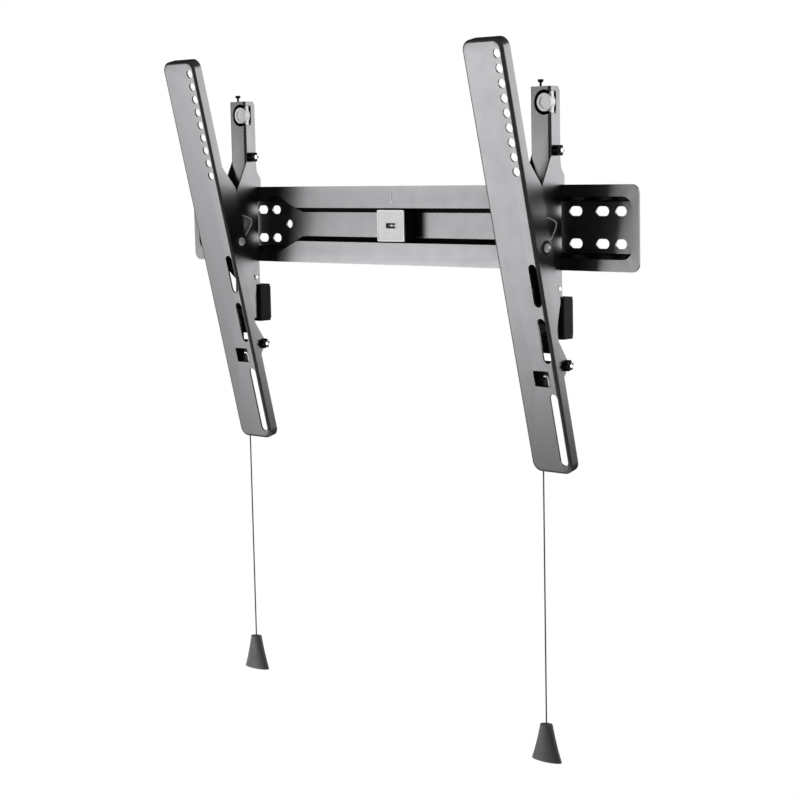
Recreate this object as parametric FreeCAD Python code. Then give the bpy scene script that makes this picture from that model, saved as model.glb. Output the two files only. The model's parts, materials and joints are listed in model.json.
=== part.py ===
import FreeCAD, Part
import math
import os

# Tilting wall mount for a flat television: a pressed wall plate, two brackets that hang
# on its top edge and slide along it, and a tilting arm on each bracket.
# Millimetres. X to the right, Y towards the wall, Z up. The origin is the middle of the
# wall plate on the wall's surface, so the whole mount lies at negative Y.

# Wall plate. Each column of slots has its distance from the plate's right end and the
# length of its slots. The left group repeats the right one.
plate_width = 677.0
plate_height = 88.5
plate_sheet = 2.0
plate_depth = 14.5
plate_corner = 9.0
channel_height = 39.0
pocket_height = 64.0
pocket_rim = 8.5
pocket_slope_run = 28.0
pocket_reach = 181.5
recess_wall_run = 5.5
recess_corner = 12.0
slot_width = 10.0
slot_row_spacing = 33.4
slot_columns = ((89.5, 17.0), (55.0, 17.0), (31.5, 14.5))
slot_groups_margin = 167.0
round_hole_from_end = 157.5
round_hole_diameter = 10.0

# Spirit level held in the channel by magnets
level_x = 1.5
level_width = 41.0
level_height = 35.0
level_front = 20.0
level_side_gap = 0.4
level_face = 1.2
level_corner = 1.5
magnet_diameter = 9.0
magnet_thickness = 3.0
magnet_spacing = 24.0
vial_diameter = 7.0
vial_length = 22.0
vial_window_width = 15.0
vial_window_height = 6.0
vial_front_wall = 1.6

# Arms
arm_sheet = 2.0
arm_width = 53.0
arm_bend_radius = 3.5
arm_corner = 11.0
arm_top = 219.0
arm_bottom = -243.0
arm_flange = 13.0
arm_tilt = 13.4
ear_depth = 26.5
ear_top = 91.0
ear_bottom = -86.0
ear_root = 3.0
ear_fade = 7.0
ear_top_run = 28.0
ear_bottom_run = 26.0
ear_corner = 10.0
ear_top_corner = 8.0
ear_flush = 0.4
horn_reach = 3.7
horn_run = 28.0
horn_nose_top = 3.5
horn_nose_bottom = 2.0
horn_foot = 11.0
horn_end = 13.0
horn_corner = 4.0
pivot_behind_face = 18.0
pivot_distance = 52.0
pivot_height = -19.0
hole_line_to_edge = 8.0
hole_diameter = 9.6
hole_count = 9
hole_pitch = 15.0
hole_to_top = 15.0
long_slot_width = 10.3
upper_slot = (216.5, 262.5)
middle_slot = (274.5, 323.5)
lower_slot = (357.0, 437.0)
window_width = 21.0
window_height = 17.5
window_from_top_hole = 332.0
window_to_hole_line = 1.0
window_corner = 1.5
cord_notch_width = 8.0

# Brackets: places of the hole lines of the arms, and of the bracket beside its hole line
left_hole_line = -220.0
right_hole_line = 242.0
bracket_offset = -15.0
bracket_sheet = 2.0
bracket_width = 26.5
bracket_front = 31.5
bracket_top = 145.0
bracket_bottom = -112.0
bracket_bend = 3.0
bracket_upper_back = 15.5
bracket_gap = 0.3
bracket_cap_overlap = 1.0
flare_start = 76.0
flare_full = 10.0
flare_corner = 14.0
pivot_nose = 10.0
nose_below_pivot = 14.0
nose_corner = 12.0
flare_end = -66.0
heel_corner = 3.0
hook_lip = 6.5
hook_thickness = 3.2
hook_tip_corner = 1.2
hook_seat_corner = 0.5
hook_outer_height = 9.0
hook_shoulder_height = 18.0
hook_shoulder_corner = 6.0
upper_back_start = 28.0
upper_back_corner = 4.0
bracket_top_chamfer = 4.0

# Pivot
pivot_diameter = 8.0
running_gap = 0.05
seat_gap = 0.3
pivot_head_diameter = 12.0
pivot_head = 2.5
pivot_head_round = 1.0
rivet_head_diameter = 10.0
rivet_head = 1.6
sleeve_wall = 2.0
spacer_diameter = 14.0

# Latch slide with its guides and its spring
latch_sheet = 2.0
latch_side_gap = 1.0
latch_face_gap = 0.4
latch_travel = 9.0
latch_shelf_drop = 4.0
latch_lip_reach = 6.0
latch_lip_width = 16.0
latch_blade_bottom = -130.0
latch_neck_width = 5.5
latch_tail_top = -138.0
latch_tail_left = 26.5
latch_tail_right = 10.0
latch_corner = 2.0
latch_neck_overlap = 3.0
latch_foot_height = -168.0
latch_foot_reach = 5.0
guide_heights = (-84.0, -104.0)
guide_diameter = 6.0
guide_head_diameter = 10.0
guide_head = 1.2
guide_gap = 0.2
spring_post_diameter = 4.0
spring_post_height = 6.0
spring_post_end = 1.0
post_head_rim = 1.5
spring_above_edge = 6.0
spring_side_gap = 0.6
spring_coil_radius = 3.2
spring_wire = 1.0
spring_turns = 8
spring_lug_width = 8.0

# Cross pin and wall bumper
cross_pin_diameter = 4.0
cross_pin_height = -63.5
cross_pin_distance = 23.0
cross_pin_head = 0.8
cross_pin_rim = 1.0
bumper_width = 36.0
bumper_front = 20.0
bumper_top = -72.0
bumper_bottom = -116.0
bumper_corner = 3.0
bumper_heel_corner = 1.0
bumper_pad = 2.5
bumper_pad_inset = 2.0
bumper_wall_gap = 0.5
bumper_groove_gap = 0.2
tongue_overlap = 4.0
tongue_side_gap = 1.0
tongue_wall = 1.0
tongue_rear_wall = 1.5

# Levelling screw and its nylon nut at the bracket's top
level_screw_diameter = 3.0
level_screw_offset = -1.8
level_screw_head = 6.0
level_screw_stem = 3.6
level_screw_head_height = 3.6
level_screw_head_cone = 1.2
level_screw_head_chamfer = 0.5
level_screw_neck_share = 0.8
level_screw_length = 34.0
opening_diameter = 26.0
opening_offset = 5.2
opening_below_top = 16.3
nut_diameter = 18.5
nut_recess = 13.0
nut_recess_depth = 1.0
nut_rear_wall = 2.0
nut_neck_setback = 0.4
nut_bar_overlap = 1.0
nut_neck_height = 11.5
nut_bar_height = 22.5
nut_bar_depth = 3.6
side_window_depth = 10.0
side_window_gap = 2.2
opening_gap = 0.3

# Thumb knobs
knob_diameter = 12.0
upper_knob_length = 7.0
lower_knob_length = 5.0
knob_round = 0.6
knob_lobes = 6
knob_lobe_radius = 1.7
stud_diameter = 4.0
stud_tip = 1.5
nut_across_flats = 7.0
nut_thickness = 3.0
upper_knob_distance = 23.5
upper_knob_height = 79.5
lower_knob_behind_pivot = 1.0
lower_knob_below_pivot = 127.0

# Release cords
cord_diameter = 1.6
cord_distance = 8.0
cord_from_bracket = -20.0
cord_hole_gap = 0.5
ferrule_diameter = 5.0
ferrule_length = 8.0
ferrule_round = 0.8
left_grip_top = -511.0
right_grip_top = -537.0
grip_height = 40.0
grip_top_size = (15.0, 11.0)
grip_bottom_size = (40.0, 15.0)
grip_waist_share = 0.44
knot_diameter = 6.0
knot_length = 5.0
knot_round = 1.2
knot_recess = 12.0
knot_side_gap = 1.0
cutter_reach = 1.0

V = FreeCAD.Vector
X_AXIS = V(1, 0, 0)
Y_AXIS = V(0, 1, 0)
Z_AXIS = V(0, 0, 1)


def save(name, shape):
    shape.exportStep(f"parts/{name}.step")


def corner_arc(before, here, after, radius):
    """The three points of the arc that rounds the corner at here."""
    back = (before - here).normalize()
    ahead = (after - here).normalize()
    half = back.getAngle(ahead) / 2
    reach = radius / math.tan(half)
    middle = (back + ahead).normalize() * (radius / math.sin(half) - radius)
    return here + back * reach, here + middle, here + ahead * reach


def outline(corners):
    """A closed wire through (point, radius) corners, with each corner rounded."""
    points = [point for point, radius in corners]
    arcs = []
    for i, (point, radius) in enumerate(corners):
        after = points[(i + 1) % len(points)]
        arcs.append(corner_arc(points[i - 1], point, after, radius) if radius else (point,))
    edges = []
    for i, arc in enumerate(arcs):
        start = arcs[i - 1][-1]
        if (arc[0] - start).Length > 1e-6:
            edges.append(Part.LineSegment(start, arc[0]).toShape())
        if len(arc) == 3:
            edges.append(Part.Arc(*arc).toShape())
    return Part.Wire(edges)


def front_slab(x0, x1, z0, z1, front, back, radius):
    """A plate seen from the front, with rounded corners. front and back are distances
    from the wall."""
    corners = [(V(x0, -front, z0), radius), (V(x1, -front, z0), radius),
               (V(x1, -front, z1), radius), (V(x0, -front, z1), radius)]
    return Part.Face(outline(corners)).extrude(Y_AXIS * (front - back))


def side_slab(corners, x0, x1):
    """A plate seen from the side. corners are (y, z, radius)."""
    wire = outline([(V(x0, y, z), radius) for y, z, radius in corners])
    return Part.Face(wire).extrude(X_AXIS * (x1 - x0))


def box(x0, x1, y0, y1, z0, z1):
    return Part.makeBox(x1 - x0, y1 - y0, z1 - z0, V(x0, y0, z0))


def rod(diameter, start, end):
    """A round bar from one point to another."""
    return Part.makeCylinder(diameter / 2, (end - start).Length, start, end - start)


def tall_slot(x, low, high, width, y0, y1):
    """A cutter for an upright slot with round ends."""
    radius = width / 2
    straight = box(x - radius, x + radius, y0, y1, low + radius, high - radius)
    bottom = rod(width, V(x, y0, low + radius), V(x, y1, low + radius))
    top = rod(width, V(x, y0, high - radius), V(x, y1, high - radius))
    return straight.fuse([bottom, top])


def wide_slot(x, z, length, width, y0, y1):
    """A cutter for a level slot with round ends."""
    radius = width / 2
    reach = length / 2 - radius
    straight = box(x - reach, x + reach, y0, y1, z - radius, z + radius)
    left = rod(width, V(x - reach, y0, z), V(x - reach, y1, z))
    right = rod(width, V(x + reach, y0, z), V(x + reach, y1, z))
    return straight.fuse([left, right])


# Values that follow from the sizes
pivot = V(0, -pivot_distance, pivot_height)
tilt = math.radians(arm_tilt)
arm_face = -pivot_behind_face
arm_rear = arm_face + arm_flange
ear_rear = arm_face + ear_depth
top_hole = arm_top - hole_to_top
half_bracket = bracket_width / 2
inside_bracket = half_bracket - bracket_sheet
band_back = plate_depth - plate_sheet
cheek_back = plate_depth + bracket_gap
web_back = bracket_front - bracket_sheet
latch_front = web_back - latch_face_gap
latch_back = latch_front - latch_sheet
plate_edge = plate_height / 2
channel_half_length = plate_width / 2 - pocket_reach
opening_height = bracket_top - opening_below_top
screw_distance = web_back - level_screw_diameter / 2 - seat_gap
spring_distance = latch_back - spring_coil_radius - spring_wire / 2 - spring_side_gap
spring_top = spring_post_height - spring_post_diameter / 2 - seat_gap
spring_bottom = -plate_edge + spring_above_edge


def recess_wire(distance, grow):
    """Outline of the recess: a channel that widens into a pocket near each end.
    Every corner keeps its centre, so lofts between two of these are even walls."""
    half_channel = channel_height / 2
    half_pocket = pocket_height / 2
    pocket_end = plate_width / 2 - pocket_rim
    pocket_start = channel_half_length + pocket_slope_run
    right = [(pocket_end, half_pocket), (pocket_start, half_pocket),
             (channel_half_length, half_channel)]
    upper = right + [(-x, z) for x, z in reversed(right)]
    lower = [(x, -z) for x, z in reversed(upper)]
    wire = outline([(V(x, -distance, z), recess_corner) for x, z in upper + lower])
    return wire.makeOffset2D(grow) if grow else wire


def wall_plate():
    band = front_slab(-plate_width / 2, plate_width / 2, -plate_edge, plate_edge,
                      plate_depth, band_back, plate_corner)
    run = recess_wall_run / (plate_depth - plate_sheet)
    skin = plate_sheet * math.sqrt(1 + run * run)
    mouth = recess_wire(plate_depth, 0)
    floor = recess_wire(plate_sheet, -recess_wall_run)
    outer_mouth = recess_wire(band_back, skin - run * plate_sheet)
    outer_floor = recess_wire(0, skin - run * plate_depth)
    pressing = Part.makeLoft([outer_mouth, outer_floor], True, True)
    hollow = Part.makeLoft([mouth, floor], True, True)
    plate = band.fuse(pressing).cut(hollow)
    front = -plate_sheet - cutter_reach
    behind = cutter_reach
    cutters = []
    for from_end, length in slot_columns:
        column = plate_width / 2 - from_end
        for x in (column, column - plate_width + slot_groups_margin):
            for z in (-slot_row_spacing / 2, slot_row_spacing / 2):
                cutters.append(wide_slot(x, z, length, slot_width, front, behind))
    round_hole_x = plate_width / 2 - round_hole_from_end
    for x in (-round_hole_x, round_hole_x):
        cutters.append(rod(round_hole_diameter, V(x, front, 0), V(x, behind, 0)))
    return plate.cut(cutters).removeSplitter()


def spirit_level():
    """The level's body, its face plate, its vial and its two magnets."""
    half = level_height / 2
    run = recess_wall_run / (plate_depth - plate_sheet)
    back = plate_sheet + magnet_thickness / 2
    tight = channel_height / 2 - run * (plate_depth - back) - level_side_gap
    shoulder = min(half, channel_height / 2 - level_side_gap)
    seam = level_front - level_face
    profile = [(-seam, -half, 0), (-plate_depth - bracket_gap, -half, 0),
               (-plate_depth, -shoulder, 0), (-back, -tight, 0), (-back, tight, 0),
               (-plate_depth, shoulder, 0), (-plate_depth - bracket_gap, half, 0),
               (-seam, half, 0)]
    x0 = level_x - level_width / 2
    body = side_slab(profile, x0, x0 + level_width)
    face = front_slab(x0, x0 + level_width, -half, half, level_front, seam, level_corner)
    vial_y = -level_front + vial_front_wall + vial_diameter / 2
    ends = [V(level_x + side * vial_length / 2, vial_y, 0) for side in (-1, 1)]
    vial = rod(vial_diameter, *ends)
    window = front_slab(level_x - vial_window_width / 2, level_x + vial_window_width / 2,
                        -vial_window_height / 2, vial_window_height / 2,
                        level_front + cutter_reach, -vial_y, level_corner)
    magnets = []
    sockets = []
    for side in (-1, 1):
        x = level_x + side * magnet_spacing / 2
        magnet = rod(magnet_diameter, V(x, -plate_sheet - magnet_thickness, 0),
                     V(x, -plate_sheet, 0))
        magnets.append(magnet)
        sockets.append(rod(magnet_diameter, V(x, -plate_sheet - magnet_thickness, 0),
                           V(x, 0, 0)))
    return body.cut([vial, window] + sockets), face.cut([vial, window]), vial, magnets


def arm_cheek(x0):
    """One side of the arm with the ear that turns on the pivot, and the horn below it
    that carries the lower knob."""
    base = arm_rear - ear_root
    flush = arm_rear + ear_flush
    horn = lower_knob_behind_pivot + horn_reach
    knob = -lower_knob_below_pivot
    ear = [(base, ear_top + ear_fade, 0), (arm_rear, ear_top, ear_top_corner),
           (ear_rear, ear_top - ear_top_run, ear_corner),
           (ear_rear, ear_bottom + ear_bottom_run, ear_corner),
           (flush, ear_bottom, ear_corner), (flush, knob + horn_run, horn_corner),
           (horn, knob + horn_nose_top, horn_corner),
           (horn, knob - horn_nose_bottom, horn_corner),
           (arm_rear, knob - horn_foot, horn_corner), (base, knob - horn_end, 0)]
    return side_slab(ear, x0, x0 + arm_sheet)


def arm(hole_line):
    """A long shallow tray of sheet steel, drawn upright with its pivot at the origin and
    then turned to its tilt."""
    right = hole_line + hole_line_to_edge
    left = right - arm_width
    outer = front_slab(left, right, arm_bottom, arm_top, -arm_face, -arm_rear, arm_corner)
    rim = [edge for edge in outer.Edges
           if all(abs(v.Y - arm_face) < 1e-6 for v in edge.Vertexes)]
    outer = outer.makeFillet(arm_bend_radius, rim)
    sheet = arm_sheet
    inner = front_slab(left + sheet, right - sheet, arm_bottom + sheet, arm_top - sheet,
                       -arm_face - sheet, -arm_rear - cutter_reach, arm_corner - sheet)
    inner_rim = [edge for edge in inner.Edges
                 if all(abs(v.Y - arm_face - sheet) < 1e-6 for v in edge.Vertexes)]
    inner = inner.makeFillet(arm_bend_radius - sheet, inner_rim)
    tray = outer.cut(inner)
    tray = tray.fuse([arm_cheek(left), arm_cheek(right - sheet)])
    front = arm_face - cutter_reach
    back = arm_face + sheet + cutter_reach
    cutters = []
    for i in range(hole_count):
        z = top_hole - i * hole_pitch
        cutters.append(rod(hole_diameter, V(hole_line, front, z), V(hole_line, back, z)))
    for high, low in (upper_slot, middle_slot, lower_slot):
        cutters.append(tall_slot(hole_line, top_hole - low, top_hole - high,
                                 long_slot_width, front, back))
    window_right = hole_line - window_to_hole_line
    window_top = top_hole - window_from_top_hole
    cutters.append(front_slab(window_right - window_width, window_right,
                              window_top - window_height, window_top, -front, -back,
                              window_corner))
    cutters.append(rod(pivot_diameter + 2 * running_gap, V(left - cutter_reach, 0, 0),
                       V(right + cutter_reach, 0, 0)))
    knob = V(right, lower_knob_behind_pivot, -lower_knob_below_pivot)
    cutters.append(rod(stud_diameter + 2 * running_gap, knob - X_AXIS * (sheet + cutter_reach),
                       knob + X_AXIS * cutter_reach))
    cord_x = hole_line + bracket_offset + cord_from_bracket
    cutters.append(box(cord_x - cord_notch_width / 2, cord_x + cord_notch_width / 2,
                       arm_face + sheet + cord_hole_gap, arm_rear + cutter_reach,
                       arm_bottom - cutter_reach, arm_bottom + sheet + cutter_reach))
    return place_on_arm(tray.cut(cutters).removeSplitter())


def place_on_arm(shape):
    """Moves a shape drawn about the pivot to its place on the tilted arm."""
    shape.rotate(V(0, 0, 0), X_AXIS, arm_tilt)
    shape.translate(pivot)
    return shape


def bracket_cheek(x0):
    """One cheek of the bracket: flared forward to the pivot, and hooked at the back."""
    front = -web_back
    nose = -pivot_distance - pivot_nose
    hook_front = -band_back + bracket_gap
    hook_back = hook_front + hook_thickness
    hook_tip = plate_edge - hook_lip
    seat = plate_edge + seat_gap
    shoulder = seat + hook_shoulder_height
    profile = [(front, flare_start, 0),
               (nose, flare_full, flare_corner),
               (nose, pivot_height - nose_below_pivot, nose_corner),
               (front, flare_end, 0),
               (front, bracket_bottom, 0),
               (-cheek_back, bracket_bottom, heel_corner),
               (-cheek_back, seat, hook_seat_corner),
               (hook_front, seat, hook_seat_corner),
               (hook_front, hook_tip, hook_seat_corner),
               (hook_back, hook_tip, hook_tip_corner),
               (hook_back, seat + hook_outer_height, heel_corner),
               (-cheek_back, shoulder, hook_shoulder_corner),
               (-bracket_upper_back, seat + upper_back_start, upper_back_corner),
               (-bracket_upper_back, bracket_top - bracket_top_chamfer, 0),
               (-bracket_upper_back - bracket_top_chamfer, bracket_top, 0),
               (front, bracket_top, 0)]
    return side_slab(profile, x0, x0 + bracket_sheet)


def hook_bracket(middle):
    left = middle - half_bracket
    right = middle + half_bracket
    inner_left = left + bracket_sheet
    inner_right = right - bracket_sheet
    seam = -web_back + cutter_reach
    section = [(V(left, -bracket_front, bracket_bottom), bracket_bend),
               (V(right, -bracket_front, bracket_bottom), bracket_bend),
               (V(right, seam, bracket_bottom), 0), (V(left, seam, bracket_bottom), 0)]
    inner_bend = bracket_bend - bracket_sheet
    inner = [(V(inner_left, -web_back, bracket_bottom), inner_bend),
             (V(inner_right, -web_back, bracket_bottom), inner_bend),
             (V(inner_right, 0, bracket_bottom), 0), (V(inner_left, 0, bracket_bottom), 0)]
    tall = Z_AXIS * (bracket_top - bracket_bottom)
    shell = Part.Face(outline(section)).extrude(tall)
    hollow = Part.Face(outline(inner)).extrude(tall)
    cap = box(left + bracket_cap_overlap, right - bracket_cap_overlap,
              -web_back - bracket_cap_overlap, -bracket_upper_back - bracket_cap_overlap,
              bracket_top - bracket_sheet, bracket_top)
    bracket = shell.cut(hollow).fuse([cap, bracket_cheek(left), bracket_cheek(inner_right)])
    front = -bracket_front - cutter_reach
    behind = -web_back + cutter_reach
    outside = right + cutter_reach
    past_left = left - cutter_reach
    neck = nut_neck_height / 2 + opening_gap
    window = nut_bar_height / 2 + opening_gap
    opening = V(middle + opening_offset, front, opening_height)
    side_window_front = -bracket_front + side_window_gap
    side_window_back = -bracket_front + side_window_depth
    screw_x = middle + level_screw_offset
    cutters = [rod(opening_diameter, opening, opening + Y_AXIS * (behind - front)),
               box(middle, outside, front, side_window_back,
                   opening_height - neck, opening_height + neck),
               box(inner_right - cutter_reach, outside, side_window_front, side_window_back,
                   opening_height - window, opening_height + window),
               rod(pivot_diameter, V(past_left, pivot.y, pivot.z), V(outside, pivot.y, pivot.z)),
               rod(cross_pin_diameter, V(past_left, -cross_pin_distance, cross_pin_height),
                   V(outside, -cross_pin_distance, cross_pin_height)),
               rod(stud_diameter + 2 * running_gap,
                   V(inner_right - cutter_reach, -upper_knob_distance, upper_knob_height),
                   V(outside, -upper_knob_distance, upper_knob_height)),
               rod(level_screw_diameter + 2 * running_gap,
                   V(screw_x, -screw_distance, bracket_top - bracket_sheet - cutter_reach),
                   V(screw_x, -screw_distance, bracket_top + cutter_reach)),
               rod(spring_post_diameter, V(middle, front, spring_post_height),
                   V(middle, behind, spring_post_height))]
    for z in guide_heights:
        cutters.append(rod(guide_diameter, V(middle, front, z), V(middle, behind, z)))
    return bracket.cut(cutters).removeSplitter()


def turned(profile, place):
    """A solid turned about the vertical through place. profile is (radius, height)."""
    points = [place + V(radius, 0, height) for radius, height in profile]
    edges = Part.makePolygon(points + [points[0]])
    return Part.Face(edges).revolve(place, Z_AXIS, 360)


def levelling_parts(middle):
    """The thumb screw in the bracket's top and the nylon nut that it turns in."""
    place = V(middle + level_screw_offset, -screw_distance, bracket_top)
    shank = level_screw_diameter / 2
    stem = shank * level_screw_neck_share
    head = level_screw_head / 2
    top = level_screw_stem + level_screw_head_height
    profile = [(0, -level_screw_length), (shank, -level_screw_length), (shank, seat_gap),
               (stem, seat_gap), (stem, level_screw_stem),
               (head, level_screw_stem + level_screw_head_cone),
               (head, top - level_screw_head_chamfer),
               (head - level_screw_head_chamfer, top), (0, top)]
    screw = turned(profile, place)
    front = -bracket_front
    right = middle + half_bracket
    centre = V(middle + opening_offset, front, opening_height)
    boss_back = -screw_distance + level_screw_diameter / 2 + nut_rear_wall
    boss = rod(nut_diameter, centre, centre + Y_AXIS * (boss_back - front))
    dish = rod(nut_recess, centre, centre + Y_AXIS * nut_recess_depth)
    bar_front = front + side_window_gap + opening_gap
    bar_back = bar_front + nut_bar_depth
    neck = box(centre.x, right - nut_bar_overlap, front + nut_neck_setback, bar_back,
               opening_height - nut_neck_height / 2, opening_height + nut_neck_height / 2)
    bar = box(right - bracket_sheet, right, bar_front, bar_back,
              opening_height - nut_bar_height / 2, opening_height + nut_bar_height / 2)
    below_nut = V(place.x, place.y, opening_height - nut_diameter)
    thread = rod(level_screw_diameter + 2 * running_gap, below_nut, place)
    nut = boss.fuse([neck, bar]).cut([dish, thread])
    return screw, nut.removeSplitter()


def thumb_knob(face, length, inside):
    """A lobed knob on its stud, with the nut on the far side of the sheet. face is the
    point on the sheet's outer side, length the knob's and inside the sheet's thickness."""
    start = face + X_AXIS * seat_gap
    lobes = []
    ring = knob_diameter / 2 - knob_lobe_radius
    for i in range(knob_lobes):
        angle = 2 * math.pi * i / knob_lobes
        centre = start + V(0, ring * math.cos(angle), ring * math.sin(angle))
        lobes.append(rod(2 * knob_lobe_radius, centre, centre + X_AXIS * length))
    core = rod(2 * ring, start, start + X_AXIS * length)
    grip = core.fuse(lobes).removeSplitter()
    end_face = max(grip.Faces, key=lambda f: f.CenterOfMass.x)
    grip = grip.makeFillet(knob_round, end_face.Edges)
    near = face - X_AXIS * (inside + nut_thickness + stud_tip)
    far = start + X_AXIS * (length + stud_tip)
    stud = rod(stud_diameter, near, far)
    grip = grip.cut(stud)
    sheet_back = face - X_AXIS * inside
    radius = nut_across_flats / 2 / math.cos(math.pi / 6)
    points = [sheet_back + V(0, radius * math.cos(math.pi * k / 3),
                             radius * math.sin(math.pi * k / 3)) for k in range(7)]
    nut = Part.Face(Part.makePolygon(points)).extrude(-X_AXIS * nut_thickness)
    nut = nut.cut(rod(stud_diameter + 2 * running_gap, near, far))
    return grip, stud, nut


def pivot_parts(hole_line):
    """The pin through both ears and both cheeks, with a spacer at each side."""
    middle = hole_line + bracket_offset
    right = hole_line + hole_line_to_edge
    left = right - arm_width
    start = V(left - seat_gap, pivot.y, pivot.z)
    end = V(right + seat_gap, pivot.y, pivot.z)
    shank = rod(pivot_diameter, start, end)
    head = rod(pivot_head_diameter, start - X_AXIS * pivot_head, start)
    rim = [edge for edge in head.Edges
           if abs(edge.CenterOfMass.x - head.BoundBox.XMin) < 1e-6]
    head = head.makeFillet(pivot_head_round, rim)
    rivet = rod(rivet_head_diameter, end, end + X_AXIS * rivet_head)
    rim = [edge for edge in rivet.Edges
           if abs(edge.CenterOfMass.x - rivet.BoundBox.XMax) < 1e-6]
    rivet = rivet.makeFillet(pivot_head_round, rim)
    pin = shank.fuse([head, rivet])
    bore = rod(pivot_diameter, start, end)
    sleeve_start = V(left + arm_sheet + seat_gap, pivot.y, pivot.z)
    sleeve_end = V(middle - half_bracket, pivot.y, pivot.z)
    sleeve = rod(pivot_diameter + 2 * sleeve_wall, sleeve_start, sleeve_end).cut(bore)
    spacer_start = V(middle + half_bracket, pivot.y, pivot.z)
    spacer_end = V(right - arm_sheet - seat_gap, pivot.y, pivot.z)
    spacer = rod(spacer_diameter, spacer_start, spacer_end).cut(bore)
    return pin, sleeve, spacer


def latch_slide(middle):
    """A sheet steel slide inside the bracket. Its lip goes up behind the plate's lower
    edge, and pulling its foot down frees the bracket."""
    half = inside_bracket - latch_side_gap
    shelf = -plate_edge - latch_shelf_drop
    lip_front = -band_back + bracket_gap
    lip_back = lip_front + latch_sheet
    blade = front_slab(middle - half, middle + half, latch_blade_bottom, shelf,
                       latch_front, latch_back, latch_corner)
    neck = box(middle - half, middle - half + latch_neck_width, -latch_front, -latch_back,
               latch_tail_top - latch_neck_overlap, latch_blade_bottom + latch_neck_overlap)
    tail = front_slab(middle - latch_tail_left, middle + latch_tail_right,
                      latch_foot_height, latch_tail_top, latch_front, latch_back, latch_corner)
    lip_left = middle - latch_lip_width / 2
    lip_right = middle + latch_lip_width / 2
    shelf_plate = box(lip_left, lip_right, -latch_front, lip_back, shelf - latch_sheet, shelf)
    lip = box(lip_left, lip_right, lip_front, lip_back,
              shelf - latch_sheet, -plate_edge + latch_lip_reach)
    lug_top = spring_bottom - seat_gap
    lug_left = middle - spring_lug_width / 2
    lug_right = middle + spring_lug_width / 2
    lug = box(lug_left, lug_right, -latch_front, -spring_distance + spring_coil_radius,
              lug_top - latch_sheet, lug_top)
    riser = box(lug_left, lug_right, -latch_front, -latch_back, shelf - latch_sheet, lug_top)
    cord_x = middle + cord_from_bracket
    foot_top = latch_foot_height + latch_sheet
    foot = box(cord_x - latch_foot_reach, cord_x + latch_foot_reach, -latch_front,
               -cord_distance + latch_foot_reach, latch_foot_height, foot_top)
    slide = blade.fuse([neck, tail, shelf_plate, lip, riser, lug, foot])
    cutters = [rod(cord_diameter + 2 * cord_hole_gap,
                   V(cord_x, -cord_distance, latch_foot_height - cutter_reach),
                   V(cord_x, -cord_distance, foot_top + cutter_reach))]
    radius = guide_diameter / 2 + guide_gap
    for z in guide_heights:
        cutters.append(tall_slot(middle, z - radius, z + radius + latch_travel, 2 * radius,
                                 -latch_front - cutter_reach, -latch_back + cutter_reach))
    return slide.cut(cutters).removeSplitter()


def guide_rivet(middle, z):
    """A shouldered rivet through the web that guides the slide."""
    start = V(middle, -bracket_front - guide_head, z)
    web = V(middle, -bracket_front, z)
    end = V(middle, -latch_back + guide_gap, z)
    head = rod(guide_head_diameter, start, web)
    shank = rod(guide_diameter, web, end)
    tail = rod(guide_head_diameter, end, end + Y_AXIS * guide_head)
    return head.fuse([shank, tail]).removeSplitter()


def latch_spring(middle):
    """An open coil from the post in the web to the lug on the slide."""
    height = spring_top - spring_bottom - spring_wire
    helix = Part.makeHelix(height / spring_turns, height, spring_coil_radius)
    place = V(spring_coil_radius, 0, 0)
    section = Part.Wire(Part.makeCircle(spring_wire / 2, place, Y_AXIS))
    coil = Part.Wire(helix).makePipeShell([section], True, True)
    coil.translate(V(middle, -spring_distance, spring_bottom + spring_wire / 2))
    return coil


def spring_post(middle):
    start = V(middle, -bracket_front - guide_head, spring_post_height)
    web = V(middle, -bracket_front, spring_post_height)
    end = V(middle, -spring_distance + spring_coil_radius + spring_post_end,
            spring_post_height)
    head = rod(spring_post_diameter + 2 * post_head_rim, start, web)
    return head.fuse(rod(spring_post_diameter, web, end)).removeSplitter()


def cross_pin(middle):
    reach = half_bracket + cross_pin_head
    start = V(middle - reach, -cross_pin_distance, cross_pin_height)
    end = V(middle + reach, -cross_pin_distance, cross_pin_height)
    head_diameter = cross_pin_diameter + 2 * cross_pin_rim
    heads = [rod(head_diameter, start, start + X_AXIS * cross_pin_head),
             rod(head_diameter, end - X_AXIS * cross_pin_head, end)]
    return rod(cross_pin_diameter, start, end).fuse(heads).removeSplitter()


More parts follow.
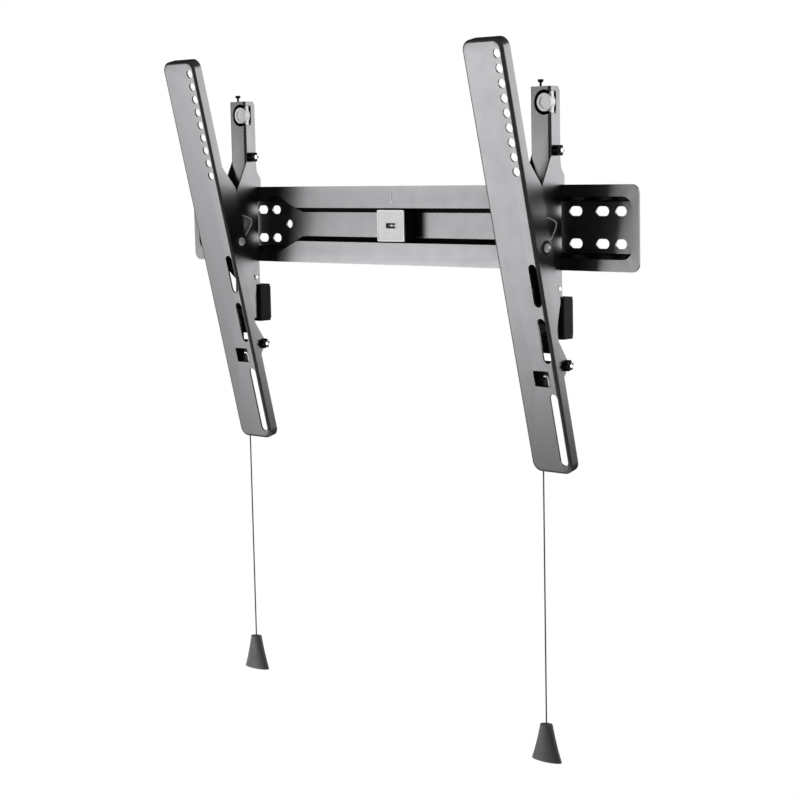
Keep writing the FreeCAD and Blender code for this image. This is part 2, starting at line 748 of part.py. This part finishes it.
def wall_bumper(middle):
    """The block that stands the bracket's lower end off the wall, and its soft pad."""
    left = middle - bumper_width / 2
    right = middle + bumper_width / 2
    back = bumper_wall_gap + bumper_pad
    corners = [(V(left, -bumper_front, bumper_bottom), bumper_corner),
               (V(right, -bumper_front, bumper_bottom), bumper_corner),
               (V(right, -back, bumper_bottom), bumper_heel_corner),
               (V(left, -back, bumper_bottom), bumper_heel_corner)]
    block = Part.Face(outline(corners)).extrude(Z_AXIS * (bumper_top - bumper_bottom))
    reach = inside_bracket - tongue_side_gap
    tongue_front = cross_pin_distance + cross_pin_diameter / 2 + tongue_wall
    tongue_back = cross_pin_distance - cross_pin_diameter / 2 - tongue_rear_wall
    tongue = box(middle - reach, middle + reach, -tongue_front, -tongue_back,
                 bumper_top - tongue_overlap,
                 cross_pin_height + cross_pin_diameter / 2 + tongue_wall)
    block = block.fuse(tongue)
    gap = bumper_groove_gap
    for side in (-1, 1):
        x = middle + side * (half_bracket - bracket_sheet / 2)
        width = bracket_sheet / 2 + gap
        block = block.cut(box(x - width, x + width, -bumper_front - cutter_reach,
                              -cheek_back + gap, bracket_bottom - gap,
                              bumper_top + cutter_reach))
    block = block.cut(rod(cross_pin_diameter, V(left, -cross_pin_distance, cross_pin_height),
                          V(right, -cross_pin_distance, cross_pin_height)))
    inset = bumper_pad_inset
    pad = front_slab(left + inset, right - inset, bumper_bottom + inset, bumper_top - inset,
                     back, bumper_wall_gap, inset)
    return block.removeSplitter(), pad


def oval(size, place):
    """A level ellipse, long side along X."""
    curve = Part.Ellipse(place, size[0] / 2, size[1] / 2)
    return Part.Wire(curve.toShape())


def cord_parts(middle, grip_top):
    """The ferrule on the slide's foot, the cord, its knot and the pull grip."""
    place = V(middle + cord_from_bracket, -cord_distance, 0)
    foot_top = place + Z_AXIS * (latch_foot_height + latch_sheet)
    ferrule = rod(ferrule_diameter, foot_top, foot_top + Z_AXIS * ferrule_length)
    ferrule = ferrule.makeFillet(ferrule_round, [ferrule.Edges[0]])
    grip_base = grip_top - grip_height
    knot_top = place + Z_AXIS * (grip_base + knot_recess - running_gap)
    cord = rod(cord_diameter, knot_top, foot_top)
    knot = rod(knot_diameter, knot_top - Z_AXIS * knot_length, knot_top)
    knot = knot.makeFillet(knot_round, knot.Edges[:1])
    waist = [top + (bottom - top) * grip_waist_share
             for top, bottom in zip(grip_top_size, grip_bottom_size)]
    sections = [oval(grip_bottom_size, place + Z_AXIS * grip_base),
                oval(waist, place + Z_AXIS * (grip_base + grip_height / 2)),
                oval(grip_top_size, place + Z_AXIS * grip_top)]
    grip = Part.makeLoft(sections, True, False)
    under = place + Z_AXIS * (grip_base - cutter_reach)
    bore = rod(cord_diameter + 2 * cord_hole_gap, under,
               place + Z_AXIS * (grip_top + cutter_reach))
    recess = rod(knot_diameter + 2 * knot_side_gap, under,
                 place + Z_AXIS * (grip_base + knot_recess))
    return ferrule, cord, knot, grip.cut([bore, recess])


def build_side(side, hole_line, grip_top):
    """Everything on one side. Both sides are alike and not mirrored."""
    middle = hole_line + bracket_offset
    right = hole_line + hole_line_to_edge
    save(f"{side}_arm", arm(hole_line))
    save(f"{side}_hook_bracket", hook_bracket(middle))
    pin, sleeve, spacer = pivot_parts(hole_line)
    save(f"{side}_pivot_pin", pin)
    save(f"{side}_pivot_sleeve", sleeve)
    save(f"{side}_pivot_spacer", spacer)
    screw, nut = levelling_parts(middle)
    save(f"{side}_levelling_screw", screw)
    save(f"{side}_levelling_nut", nut)
    face = V(middle + half_bracket, -upper_knob_distance, upper_knob_height)
    grip, stud, nut = thumb_knob(face, upper_knob_length, bracket_sheet)
    save(f"{side}_upper_knob", grip)
    save(f"{side}_upper_knob_stud", stud)
    save(f"{side}_upper_knob_nut", nut)
    face = V(right, lower_knob_behind_pivot, -lower_knob_below_pivot)
    pieces = thumb_knob(face, lower_knob_length, arm_sheet)
    grip, stud, nut = [place_on_arm(piece) for piece in pieces]
    save(f"{side}_lower_knob", grip)
    save(f"{side}_lower_knob_stud", stud)
    save(f"{side}_lower_knob_nut", nut)
    save(f"{side}_latch_slide", latch_slide(middle))
    save(f"{side}_guide_rivet_upper", guide_rivet(middle, guide_heights[0]))
    save(f"{side}_guide_rivet_lower", guide_rivet(middle, guide_heights[1]))
    save(f"{side}_latch_spring", latch_spring(middle))
    save(f"{side}_spring_post", spring_post(middle))
    save(f"{side}_cross_pin", cross_pin(middle))
    block, pad = wall_bumper(middle)
    save(f"{side}_wall_bumper", block)
    save(f"{side}_bumper_pad", pad)
    ferrule, cord, knot, grip = cord_parts(middle, grip_top)
    save(f"{side}_cord_ferrule", ferrule)
    save(f"{side}_cord", cord)
    save(f"{side}_cord_knot", knot)
    save(f"{side}_pull_grip", grip)


os.makedirs("parts", exist_ok=True)
save("wall_plate", wall_plate())
level_body, level_plate, level_vial, level_magnets = spirit_level()
save("level_body", level_body)
save("level_face", level_plate)
save("level_vial", level_vial)
save("level_magnet_left", level_magnets[0])
save("level_magnet_right", level_magnets[1])
build_side("left", left_hole_line, left_grip_top)
build_side("right", right_hole_line, right_grip_top)
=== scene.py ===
import json
import math

import bmesh
import bpy
from mathutils import Matrix, Vector


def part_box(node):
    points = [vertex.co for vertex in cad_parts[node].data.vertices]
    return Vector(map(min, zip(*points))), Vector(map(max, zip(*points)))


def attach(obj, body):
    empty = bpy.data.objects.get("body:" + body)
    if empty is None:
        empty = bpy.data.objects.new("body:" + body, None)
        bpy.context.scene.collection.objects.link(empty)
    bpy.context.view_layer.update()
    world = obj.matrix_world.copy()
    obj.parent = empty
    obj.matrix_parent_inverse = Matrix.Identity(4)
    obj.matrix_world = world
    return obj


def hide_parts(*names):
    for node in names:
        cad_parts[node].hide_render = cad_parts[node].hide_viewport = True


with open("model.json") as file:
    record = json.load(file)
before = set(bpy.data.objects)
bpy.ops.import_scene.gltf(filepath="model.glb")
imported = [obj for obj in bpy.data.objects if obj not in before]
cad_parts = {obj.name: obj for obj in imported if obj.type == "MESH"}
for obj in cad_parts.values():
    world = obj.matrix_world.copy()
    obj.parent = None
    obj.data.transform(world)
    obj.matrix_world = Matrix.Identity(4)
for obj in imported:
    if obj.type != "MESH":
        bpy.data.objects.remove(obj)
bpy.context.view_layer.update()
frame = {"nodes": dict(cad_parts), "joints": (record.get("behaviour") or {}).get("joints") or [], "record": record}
nodes = frame["nodes"]
joints = {joint["name"]: joint for joint in frame["joints"]}

# Sizes and places are in millimetres: X to the right, Y towards the wall, Z up.
MM = 0.001
HOLE_LINES = {"left": -220.0, "right": 242.0}
BRACKET_FROM_HOLES = -15.0
CORD_DIAMETER = 1.6
CORD_FROM_BRACKET = -20.0
CORD_Y = -8.0
CORD_TOP = -166.0
CORD_BOTTOMS = {"left": -539.05, "right": -565.05}
ARM_FACE = -70.0
PIVOT_Y, PIVOT_Z = (value / MM for value in joints["left_arm_tilt"]["pos_m"][1:])
ARM_TILT = -joints["left_arm_tilt"]["range_deg"][0]


def box_mm(name):
    """The lowest and the highest corner of a solid."""
    return [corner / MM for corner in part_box(name)]


# Camera
def place_camera():
    """The angle and the focal length that put the plate, the arms, the holes and the slots
    where the photograph has them."""
    azimuth = math.radians(43.33)
    elevation = math.radians(7.15)
    roll = math.radians(-1.2)
    distance = 2204.47
    target = Vector((-6.71, -2.0, -198.61))
    focal_pixels, picture_pixels, sensor_width = 1934.92, 800, 36
    forward = Vector((-math.sin(azimuth) * math.cos(elevation),
                      math.cos(azimuth) * math.cos(elevation), -math.sin(elevation)))
    right = Vector((math.cos(azimuth), math.sin(azimuth), 0))
    up = right.cross(forward)
    turned_right = right * math.cos(roll) + up * math.sin(roll)
    turned_up = up * math.cos(roll) - right * math.sin(roll)
    data = bpy.data.cameras.new("camera")
    data.sensor_width = sensor_width
    data.lens = focal_pixels / picture_pixels * sensor_width
    data.clip_end = 50
    camera = bpy.data.objects.new("camera", data)
    bpy.context.scene.collection.objects.link(camera)
    turn = Matrix((turned_right, turned_up, -forward)).transposed().to_4x4()
    camera.matrix_world = Matrix.Translation((target - forward * distance) * MM) @ turn
    bpy.context.scene.camera = camera


place_camera()


# Node helpers
def new_material(name):
    material = bpy.data.materials.new(name)
    material.use_nodes = True
    tree = material.node_tree
    return material, tree, tree.nodes["Principled BSDF"]


def node(tree, kind, **values):
    """A node whose values go to its sockets, or else to its own settings."""
    made = tree.nodes.new(kind)
    for key, value in values.items():
        if key in made.inputs:
            made.inputs[key].default_value = value
        else:
            setattr(made, key, value)
    return made


def ramp(tree, source, stops):
    """Turns a value into a tone; each stop is a position with a colour or a grey level."""
    made = node(tree, "ShaderNodeValToRGB")
    elements = made.color_ramp.elements
    while len(elements) < len(stops):
        elements.new(0.5)
    for element, (position, colour) in zip(elements, stops):
        element.position = position
        element.color = (*colour, 1) if hasattr(colour, "__len__") else (colour,) * 3 + (1,)
    tree.links.new(source, made.inputs["Fac"])
    return made.outputs["Color"]


def place_of(tree):
    return node(tree, "ShaderNodeTexCoord").outputs["Object"]


def noise(tree, scale, detail):
    made = node(tree, "ShaderNodeTexNoise", Scale=scale, Detail=detail, Roughness=0.55)
    tree.links.new(place_of(tree), made.inputs["Vector"])
    return made.outputs["Fac"]


def bump(tree, shader, height, strength, distance):
    made = node(tree, "ShaderNodeBump", Strength=strength, Distance=distance)
    tree.links.new(height, made.inputs["Height"])
    tree.links.new(made.outputs["Normal"], shader.inputs["Normal"])


def shade(colour, share):
    return tuple(part * share for part in colour)


def drift(tree, socket, limits, scale, detail):
    """Lets a socket's value wander between two limits over the surface."""
    low, high = limits
    wander = ramp(tree, noise(tree, scale, detail), [(0.3, low), (0.7, high)])
    tree.links.new(wander, socket)


# Materials
def powder_coat(name, colour, metallic, rough, rim):
    """Coated sheet steel: a slight drift of tone, a fine orange-peel skin, and sharp rims painted lighter, partly
    as wear and partly as a painted edge highlight.
    """
    material, tree, shader = new_material(name)
    edge = node(tree, "ShaderNodeNewGeometry").outputs["Pointiness"]
    # Sharp rims are painted lighter: edge wear together with a painted highlight along the edges.
    wear_and_edge_highlight = ramp(tree, edge, [(0.52, 0.0), (0.6, 1.0)])
    mix = node(tree, "ShaderNodeMix", data_type="RGBA", blend_type="MIX")
    tree.links.new(wear_and_edge_highlight, mix.inputs["Factor"])
    drift(tree, mix.inputs["A"], (shade(colour, 0.97), shade(colour, 1.03)), scale=14, detail=4)
    mix.inputs["B"].default_value = (*shade(colour, 1.35), 1)
    tree.links.new(mix.outputs["Result"], shader.inputs["Base Color"])
    shader.inputs["Metallic"].default_value = metallic
    shader.inputs["Specular Tint"].default_value = (rim, rim, rim, 1)
    drift(tree, shader.inputs["Roughness"], rough, scale=60, detail=2)
    bump(tree, shader, noise(tree, scale=900, detail=2), strength=0.12, distance=0.0002)
    return material


def zinc(name, colour, metallic):
    """Zinc plating with a faint spangle."""
    material, tree, shader = new_material(name)
    drift(tree, shader.inputs["Base Color"], (shade(colour, 0.8), colour), scale=300, detail=4)
    shader.inputs["Metallic"].default_value = metallic
    drift(tree, shader.inputs["Roughness"], (0.22, 0.38), scale=700, detail=2)
    bump(tree, shader, noise(tree, scale=1800, detail=2), strength=0.08, distance=0.0001)
    return material


def plastic(name, colour, rough, grain, strength, shine=0.5):
    """Moulded plastic with a fine spark-eroded grain."""
    material, tree, shader = new_material(name)
    tones = shade(colour, 0.92), shade(colour, 1.06)
    drift(tree, shader.inputs["Base Color"], tones, scale=40, detail=3)
    drift(tree, shader.inputs["Roughness"], rough, scale=120, detail=2)
    shader.inputs["Specular IOR Level"].default_value = shine
    bump(tree, shader, noise(tree, grain, detail=2), strength, distance=0.0002)
    return material


def nylon(name, colour):
    """Natural nylon, which lets a little light in."""
    material = plastic(name, colour, (0.3, 0.42), grain=1100, strength=0.08)
    shader = material.node_tree.nodes["Principled BSDF"]
    shader.inputs["Subsurface Weight"].default_value = 0.1
    shader.inputs["Subsurface Radius"].default_value = (0.002, 0.002, 0.002)
    shader.inputs["Subsurface Scale"].default_value = 1.0
    return material


def braid(name, colour):
    """A braided cord: two sets of strands that cross, painted darker in the dips between strands and lighter on
    their crests.
    """
    material, tree, shader = new_material(name)
    both = node(tree, "ShaderNodeMath", operation="MULTIPLY")
    for sign, socket in zip((-1, 1), both.inputs):
        strands = node(tree, "ShaderNodeTexWave", Scale=340.0, Distortion=0.0)
        strands.bands_direction = "DIAGONAL"
        slant = node(tree, "ShaderNodeMapping", Scale=(sign, sign, 1))
        tree.links.new(place_of(tree), slant.inputs["Vector"])
        tree.links.new(slant.outputs["Vector"], strands.inputs["Vector"])
        tree.links.new(strands.outputs["Fac"], socket)
    # Painted shade in the dips between strands, painted highlight on their crests.
    strand_shade_and_highlight = ramp(tree, both.outputs["Value"],
                [(0.0, shade(colour, 0.6)), (0.8, shade(colour, 1.3))])
    tree.links.new(strand_shade_and_highlight, shader.inputs["Base Color"])
    shader.inputs["Roughness"].default_value = 0.75
    bump(tree, shader, both.outputs["Value"], strength=0.5, distance=0.0003)
    return material


def clear_vial(name, colour):
    material, tree, shader = new_material(name)
    drift(tree, shader.inputs["Base Color"], (shade(colour, 0.93), colour), scale=90, detail=2)
    shader.inputs["Roughness"].default_value = 0.06
    shader.inputs["Transmission Weight"].default_value = 0.15
    shader.inputs["IOR"].default_value = 1.45
    return material


steel = powder_coat("satin_black_coat", (0.10, 0.10, 0.103), 1.0, rough=(0.3, 0.33), rim=0.25)
dull_steel = powder_coat("dull_black_coat", (0.015, 0.015, 0.0155), 0.0, rough=(0.5, 0.6), rim=0.5)
bright = zinc("zinc_plate", (0.62, 0.62, 0.61), metallic=1.0)
# Near-white and mostly diffuse, so the small pins and wires show bright whatever they reflect: a painted highlight
# standing in for their glints.
glint_bright_zinc = zinc("glint_bright_zinc_paint", (0.93, 0.93, 0.92), metallic=0.3)
black = plastic("black_plastic", (0.012, 0.012, 0.0125), (0.45, 0.55), 1500, 0.2, shine=0.06)
white = nylon("white_nylon", (0.95, 0.95, 0.93))
grip_grey = plastic("grip_plastic", (0.065, 0.065, 0.068), (0.5, 0.62), 1300, 0.25)
cord_grey = braid("cord_braid", (0.07, 0.07, 0.075))
level_grey = plastic("level_plastic", (0.72, 0.72, 0.72), (0.35, 0.45), 1500, 0.1)
# A paler plastic for the level's face border: a painted highlight along the face's edge.
level_edge_highlight_pale = plastic("level_rim_painted_highlight", (0.9, 0.9, 0.9), (0.3, 0.4), 1500, 0.1)
vial_green = clear_vial("vial_green", (0.8, 0.93, 0.84))
rubber = plastic("pad_rubber", (0.025, 0.025, 0.025), (0.7, 0.85), 900, 0.4)

FINISHES = {
    "black_steel": steel, "dull_black_steel": dull_steel, "zinc_steel": bright,
    "nylon_white": white, "black_plastic": black, "grip_plastic": grip_grey,
    "cord_braid": cord_grey, "level_plastic": level_grey, "vial_green": vial_green,
    "magnet": bright, "pad_rubber": rubber,
}
for part in frame["record"]["subparts"]:
    materials = nodes[part["node"]].data.materials
    materials.clear()
    materials.append(FINISHES[part["material_slot"]])


# Release cords
def hang_cord(side):
    x = HOLE_LINES[side] + BRACKET_FROM_HOLES + CORD_FROM_BRACKET
    bottom = CORD_BOTTOMS[side]
    curve = bpy.data.curves.new(f"{side}_braided_cord", "CURVE")
    curve.dimensions = "3D"
    curve.bevel_depth = CORD_DIAMETER / 2 * MM
    curve.bevel_resolution = 5
    spline = curve.splines.new("NURBS")
    spline.points.add(1)
    for point, z in zip(spline.points, (CORD_TOP, bottom)):
        point.co = (x * MM, CORD_Y * MM, z * MM, 1)
    spline.order_u = 3
    spline.use_endpoint_u = True
    cord = bpy.data.objects.new(f"{side}_braided_cord", curve)
    bpy.context.scene.collection.objects.link(cord)
    curve.materials.append(cord_grey)
    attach(cord, f"{side}_latch")
    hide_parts(f"{side}_cord")


hang_cord("left")
hang_cord("right")


# Helpers for the small pieces
def add_piece(name, data, material, body):
    piece = bpy.data.objects.new(name, data)
    bpy.context.scene.collection.objects.link(piece)
    data.materials.append(material)
    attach(piece, body)


def closed_mesh(name, build):
    shape = bmesh.new()
    build(shape)
    bmesh.ops.recalc_face_normals(shape, faces=shape.faces)
    mesh = bpy.data.meshes.new(name)
    shape.to_mesh(mesh)
    shape.free()
    return mesh


def rounded(left, right, bottom, top, radius, steps=6):
    """The outline of a rounded rectangle."""
    points = []
    for x, z, start in ((right, top, 0), (left, top, 1), (left, bottom, 2), (right, bottom, 3)):
        middle_x = x - radius if x == right else x + radius
        middle_z = z - radius if z == top else z + radius
        for step in range(steps + 1):
            turn = math.pi / 2 * (start + step / steps)
            points.append((middle_x + radius * math.cos(turn), middle_z + radius * math.sin(turn)))
    return points


def front_slab(shape, outline, front, back, opening=None):
    """A flat piece that faces the room; an opening has as many points as the outline."""
    loops = []
    for points in (outline, opening or []):
        for y in (front, back):
            loops.append([shape.verts.new(Vector((x, y, z)) * MM) for x, z in points])
    front_loop, back_loop, front_opening, back_opening = loops
    count = len(outline)
    for near, far in ((front_loop, back_loop), (front_opening, back_opening)):
        for i in range(len(near)):
            j = (i + 1) % count
            shape.faces.new((near[i], near[j], far[j], far[i]))
    if opening:
        for outer, inner in ((front_loop, front_opening), (back_loop, back_opening)):
            for i in range(count):
                j = (i + 1) % count
                shape.faces.new((outer[i], outer[j], inner[j], inner[i]))
    else:
        shape.faces.new(front_loop)
        shape.faces.new(back_loop)


def turned(shape, profile, y, z, segments=32):
    """A piece turned about a line along X; the profile is (x, radius) pairs."""
    rings = []
    for x, radius in profile:
        ring = []
        for step in range(segments):
            turn = 2 * math.pi * step / segments
            spot = Vector((x, y + radius * math.cos(turn), z + radius * math.sin(turn)))
            ring.append(shape.verts.new(spot * MM))
        rings.append(ring)
    for near, far in zip(rings, rings[1:]):
        for i in range(segments):
            j = (i + 1) % segments
            shape.faces.new((near[i], near[j], far[j], far[i]))
    shape.faces.new(rings[0])
    shape.faces.new(rings[-1])


def dome(x, radius, height, steps=6):
    """Profile of a domed head that stands on x."""
    points = [(x, radius)]
    for step in range(1, steps):
        turn = math.pi / 2 * step / steps
        points.append((x + height * math.sin(turn), radius * math.cos(turn)))
    points.append((x + height, radius * 0.05))
    return points


def add_wire(name, points, radius, body):
    """A bent wire of the near-white zinc whose colour is a painted glint."""
    curve = bpy.data.curves.new(name, "CURVE")
    curve.dimensions = "3D"
    curve.bevel_depth = radius * MM
    curve.bevel_resolution = 3
    curve.use_fill_caps = True
    spline = curve.splines.new("POLY")
    spline.points.add(len(points) - 1)
    for point, place in zip(spline.points, points):
        point.co = (*(Vector(place) * MM), 1)
    add_piece(name, curve, glint_bright_zinc, body)


def tilted(x, y, z):
    """Where a point of the upright arm lies at rest."""
    turn = math.radians(ARM_TILT)
    from_pivot_y, from_pivot_z = y - PIVOT_Y, z - PIVOT_Z
    return (x, PIVOT_Y + from_pivot_y * math.cos(turn) - from_pivot_z * math.sin(turn),
            PIVOT_Z + from_pivot_y * math.sin(turn) + from_pivot_z * math.cos(turn))


# Small pieces on the wall plate
def level_rim(low, high):
    """The border of the level's face, painted pale as the highlight along the face's edge."""
    width, height = 1.4, 0.3
    outer_corner, inner_corner = 1.5, 1.0
    outer = rounded(low.x, high.x, low.z, high.z, outer_corner)
    inner = rounded(low.x + width, high.x - width, low.z + width, high.z - width, inner_corner)
    mesh = closed_mesh("level_rim", lambda shape: front_slab(
        shape, outer, low.y - height, low.y, inner))
    add_piece("level_rim", mesh, level_edge_highlight_pale, "plate")


def level_vial_mask(middle, face):
    """The dark surround of the vial, with a mark on each side of the vial's middle."""
    half_width, half_height, corner = 7.4, 2.9, 1.3
    sight_left, sight_right, sight_bottom, sight_top, sight_corner = -4.7, 6.9, -1.2, 1.4, 0.9
    mark_place, mark_half_width, mark_bottom, mark_top, mark_corner = 2.6, 0.2, -1.3, 1.5, 0.1
    depth, thickness, mark_setback = 0.7, 0.8, 0.3
    front, back = face + depth, face + depth + thickness

    def build(shape):
        window = rounded(middle - half_width, middle + half_width, -half_height, half_height, corner)
        sight = rounded(middle + sight_left, middle + sight_right, sight_bottom, sight_top,
                        sight_corner)
        front_slab(shape, window, front, back, sight)
        for x in (middle - mark_place, middle + mark_place):
            mark = rounded(x - mark_half_width, x + mark_half_width, mark_bottom, mark_top,
                           mark_corner)
            front_slab(shape, mark, front + mark_setback, back)

    add_piece("level_vial_mask", closed_mesh("level_vial_mask", build), black,
              "plate")


def centre_arrow(band):
    """The mark above the level that shows the plate's middle."""
    x, top, shoulder, tip = -2.0, 37.6, 27.5, 22.8
    stem, barb = 0.7, 2.9
    raised, sunk = 0.25, 0.05
    outline = [(x - stem, top), (x - stem, shoulder), (x - barb, shoulder), (x, tip),
               (x + barb, shoulder), (x + stem, shoulder), (x + stem, top)]
    mesh = closed_mesh("centre_arrow", lambda shape: front_slab(
        shape, outline, band - raised, band + sunk))
    add_piece("centre_arrow", mesh, steel, "plate")


def dress_plate():
    low, high = box_mm("level_face")
    level_rim(low, high)
    level_vial_mask((low.x + high.x) / 2, low.y)
    centre_arrow(box_mm("wall_plate")[0].y)


# Small pieces on each side
def pivot_rivet(side):
    """The domed end of the pivot pin, which stands out of the arm's ear."""
    radius, height = 4.6, 1.5
    head = dome(box_mm(f"{side}_pivot_pin")[1].x, radius, height)
    mesh = closed_mesh("pivot_rivet", lambda shape: turned(shape, head, PIVOT_Y, PIVOT_Z))
    add_piece(f"{side}_pivot_rivet", mesh, glint_bright_zinc, f"{side}_bracket")


def pivot_ring(side, ear):
    """The dark ring round the pivot pin's end, flat on the arm's ear."""
    outer, rounded_outer, inner = 7.6, 7.3, 6.1
    back, shoulder, front = ear + 0.02, ear + 0.35, ear + 0.5
    ring = [(back, outer), (shoulder, outer), (front, rounded_outer), (front, inner)]
    mesh = closed_mesh("pivot_ring", lambda shape: turned(shape, ring, PIVOT_Y, PIVOT_Z))
    add_piece(f"{side}_pivot_ring", mesh, rubber, f"{side}_arm_body")


def cross_pin_head(side):
    """The domed head at the cross pin's right end, on a short neck."""
    neck_length, neck_radius = 1.2, 2.0
    head_length, head_radius, dome_height = 1.4, 3.2, 1.0
    low, high = box_mm(f"{side}_cross_pin")
    middle = (low + high) / 2
    neck_end = high.x + neck_length
    head = [(high.x, neck_radius), (neck_end, neck_radius), (neck_end, head_radius)]
    head += dome(neck_end + head_length, head_radius, dome_height)
    mesh = closed_mesh("cross_pin_head", lambda shape: turned(shape, head, middle.y, middle.z))
    add_piece(f"{side}_cross_pin_head", mesh, glint_bright_zinc, f"{side}_bracket")


def back_tab(side):
    """The folded tab that closes the bracket's top opening from behind."""
    half_width, bottom, top, corner = 12.2, 108.5, 144.5, 2.5
    front, back = -17.5, -15.6
    middle = HOLE_LINES[side] + BRACKET_FROM_HOLES
    tab = rounded(middle - half_width, middle + half_width, bottom, top, corner)
    mesh = closed_mesh("back_tab", lambda shape: front_slab(shape, tab, front, back))
    add_piece(f"{side}_back_tab", mesh, dull_steel, f"{side}_bracket")


def keeper_spring(side, ear):
    """A hairpin spring: one turn round the pivot's spacer and a hooked leg behind the ear."""
    wire_radius, coil_radius, half_coil = 0.8, 7.8, 1.2
    inside_ear, first_angle, steps = 4.0, -70, 24
    x = ear - inside_ear
    coil = []
    for step in range(steps + 1):
        turn = math.radians(first_angle + 360 * step / steps)
        coil.append((x - half_coil + 2 * half_coil * step / steps,
                     PIVOT_Y + coil_radius * math.cos(turn),
                     PIVOT_Z + coil_radius * math.sin(turn)))
    leg = [(-42.8, -12.5), (-38.1, -7.0), (-33.0, 0.0), (-32.0, 5.4), (-34.0, 7.6),
           (-44.3, 11.1), (-46.5, 11.2)]
    points = coil + [(x + half_coil, y, z) for y, z in leg]
    add_wire(f"{side}_keeper_spring", points, wire_radius, f"{side}_bracket")


def window_hook(side):
    """A hooked wire that shows in the arm's window; its foot lies on the sheet's back."""
    wire_radius = 0.9
    line = HOLE_LINES[side]
    bends = [(-11.6, 4.2, -154.0), (-8.0, 4.2, -153.9), (-6.9, 4.2, -154.5), (-6.3, 4.2, -156.0),
             (-6.2, 4.2, -160.0), (-6.0, 3.8, -164.0), (-6.0, 3.0, -167.0), (-6.0, 2.9, -171.0)]
    points = [tilted(line + x, ARM_FACE + depth, z) for x, depth, z in bends]
    add_wire(f"{side}_window_hook", points, wire_radius, f"{side}_arm_body")


def dress_side(side):
    ear = box_mm(f"{side}_arm")[1].x
    pivot_rivet(side)
    pivot_ring(side, ear)
    cross_pin_head(side)
    back_tab(side)
    keeper_spring(side, ear)
    window_hook(side)


dress_plate()
dress_side("left")
dress_side("right")


# Light and stage, in metres
def fade(tree, across, upward):
    """Brightness of a softbox from side to side and from foot to top."""
    spot = node(tree, "ShaderNodeSeparateXYZ")
    tree.links.new(node(tree, "ShaderNodeNewGeometry").outputs["Parametric"],
                   spot.inputs["Vector"])
    both = node(tree, "ShaderNodeMath", operation="MULTIPLY")
    tree.links.new(ramp(tree, spot.outputs["X"], across), both.inputs[0])
    tree.links.new(ramp(tree, spot.outputs["Y"], upward), both.inputs[1])
    tree.links.new(both.outputs["Value"], tree.nodes["Emission"].inputs["Strength"])


def add_softbox(name, place, target, size, power):
    data = bpy.data.lights.new(name, "AREA")
    data.shape = "RECTANGLE"
    data.size, data.size_y = size
    data.energy = power
    lamp = bpy.data.objects.new(name, data)
    bpy.context.scene.collection.objects.link(lamp)
    lamp.location = place
    aim = (Vector(target) - Vector(place)).to_track_quat("-Z", "Y")
    lamp.rotation_euler = aim.to_euler()
    lamp.visible_camera = False
    return data


def white_surface():
    """Looks white to the camera and in reflections; near the object it also shows some of
    its own shading, so the shadow stays."""
    material, tree, shader = new_material("stage_white")
    shader.inputs["Base Color"].default_value = (0.8, 0.8, 0.8, 1)
    shader.inputs["Roughness"].default_value = 1.0
    rays = node(tree, "ShaderNodeLightPath")
    glow = node(tree, "ShaderNodeEmission", Strength=1.0)
    pick = node(tree, "ShaderNodeMath", operation="MAXIMUM")
    tree.links.new(rays.outputs["Is Camera Ray"], pick.inputs[0])
    tree.links.new(rays.outputs["Is Glossy Ray"], pick.inputs[1])
    near = node(tree, "ShaderNodeTexGradient", gradient_type="SPHERICAL")
    tree.links.new(place_of(tree), near.inputs["Vector"])
    share = node(tree, "ShaderNodeMath", operation="MULTIPLY")
    tree.links.new(pick.outputs["Value"], share.inputs[0])
    tree.links.new(ramp(tree, near.outputs["Fac"], [(0.0, 1.0), (0.5, 0.85)]), share.inputs[1])
    mix = node(tree, "ShaderNodeMixShader")
    tree.links.new(share.outputs["Value"], mix.inputs["Fac"])
    tree.links.new(shader.outputs["BSDF"], mix.inputs[1])
    tree.links.new(glow.outputs["Emission"], mix.inputs[2])
    tree.links.new(mix.outputs["Shader"], tree.nodes["Material Output"].inputs["Surface"])
    return material


def lay_floor():
    left, right, front, back, height = -2.2, 1.3, -2.0, 1.3, -1.6
    mesh = bpy.data.meshes.new("floor")
    corners = [(left, front, 0), (right, front, 0), (right, back, 0), (left, back, 0)]
    mesh.from_pydata(corners, [], [(0, 1, 2, 3)])
    mesh.materials.append(white_surface())
    floor = bpy.data.objects.new("floor", mesh)
    floor.location = (0, 0, height)
    bpy.context.scene.collection.objects.link(floor)


def surroundings():
    """A dim room that the camera sees as white."""
    world = bpy.data.worlds.new("studio")
    bpy.context.scene.world = world
    world.use_nodes = True
    tree = world.node_tree
    background = tree.nodes["Background"]
    background.inputs["Color"].default_value = (1, 1, 1, 1)
    background.inputs["Strength"].default_value = 0.26
    rays = node(tree, "ShaderNodeLightPath")
    white_sky = node(tree, "ShaderNodeBackground", Color=(1, 1, 1, 1), Strength=1.0)
    mix = node(tree, "ShaderNodeMixShader")
    tree.links.new(rays.outputs["Is Camera Ray"], mix.inputs["Fac"])
    tree.links.new(background.outputs["Background"], mix.inputs[1])
    tree.links.new(white_sky.outputs["Background"], mix.inputs[2])
    tree.links.new(mix.outputs["Shader"], tree.nodes["World Output"].inputs["Surface"])


def softboxes():
    left = add_softbox("left_softbox", place=(-1.073, -1.052, -0.375), target=(0, -0.15, -0.375),
                       size=(0.95, 1.2), power=28)
    left.use_nodes = True
    fade(left.node_tree, across=[(0.0, 0.2), (0.3, 0.5), (0.5, 0.9), (0.65, 1.0)],
         upward=[(0.0, 0.76), (0.43, 0.72), (0.65, 1.0), (0.75, 1.0), (1.0, 0.1)])
    add_softbox("edge_softbox", place=(-1.75, -0.1, -0.3), target=(0, -0.1, -0.2),
                size=(1.2, 1.2), power=8)
    add_softbox("rear_softbox", place=(1.06, 0.99, 0.25), target=(0, 0, 0.1),
                size=(0.9, 1.1), power=14)


lay_floor()
surroundings()
softboxes()
bpy.context.scene.view_settings.view_transform = "Standard"
